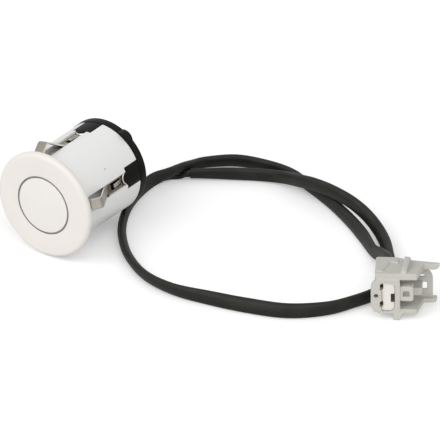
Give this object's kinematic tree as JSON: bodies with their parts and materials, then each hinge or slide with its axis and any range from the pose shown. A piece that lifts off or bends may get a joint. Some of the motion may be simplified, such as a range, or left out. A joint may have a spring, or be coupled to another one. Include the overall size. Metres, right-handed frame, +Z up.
{
  "type": "parking sensor",
  "caption": "Round ultrasonic bumper sensor with a white flanged bezel, spring clips round its sleeve, a black rear body and a sleeved lead that ends in a grey latching plug.",
  "frame": {"origin": "on the floor under the middle of the sensor, halfway between its face and the tip of its grommet", "axes": "+Y along the sensor's axis from its face to its lead, +Z up from the floor, +X to the side of the plug"},
  "size_m": [0.1072, 0.067, 0.0289],
  "materials": {
    "bezel": "smooth satin white",
    "spring_steel": "bright spring strip",
    "black_plastic": "moulded black",
    "soft_joint": "soft grey",
    "cup": "satin white over metal",
    "piezo": "fired ceramic with a thin metal face",
    "pad": "foam",
    "filling": "cast silicone",
    "contact": "plated",
    "board": "solder mask",
    "ferrite": "dull ferrite",
    "winding": "enamelled wire",
    "chip": "moulded",
    "capacitor": "fired ceramic",
    "compound": "cast, slightly shiny",
    "wire": "smooth insulation",
    "tube": "soft matt tube",
    "plug": "moulded grey",
    "holder": "moulded white",
    "seal": "soft wire seal"
  },
  "bodies": {
    "root": {"bezel_sleeve": "bezel", "decoupling_ring": "soft_joint", "transducer_cup": "cup", "piezo_disc": "piezo", "damping_pad": "pad", "cup_filling": "filling", "contact_pin_left": "contact", "contact_pin_right": "contact", "sensor_body": "black_plastic", "circuit_board": "board", "transformer_core": "ferrite", "transformer_winding": "winding", "control_chip": "chip", "board_capacitors": "capacitor", "sealing_compound": "compound", "cable_grommet": "wire", "inner_wire_left": "wire", "inner_wire_right": "wire", "spring_clip_right": "spring_steel", "spring_clip_lower": "spring_steel", "spring_clip_left": "spring_steel", "spring_clip_upper": "spring_steel", "lead_wire_left": "wire", "lead_wire_right": "wire", "cable_tube": "tube", "plug_housing": "plug", "terminal_holder": "holder", "terminal_upper": "contact", "terminal_lower": "contact", "wire_seal_upper": "seal", "wire_seal_lower": "seal", "wire_tail_upper": "wire", "wire_tail_lower": "wire"}
  },
  "joints": []
}
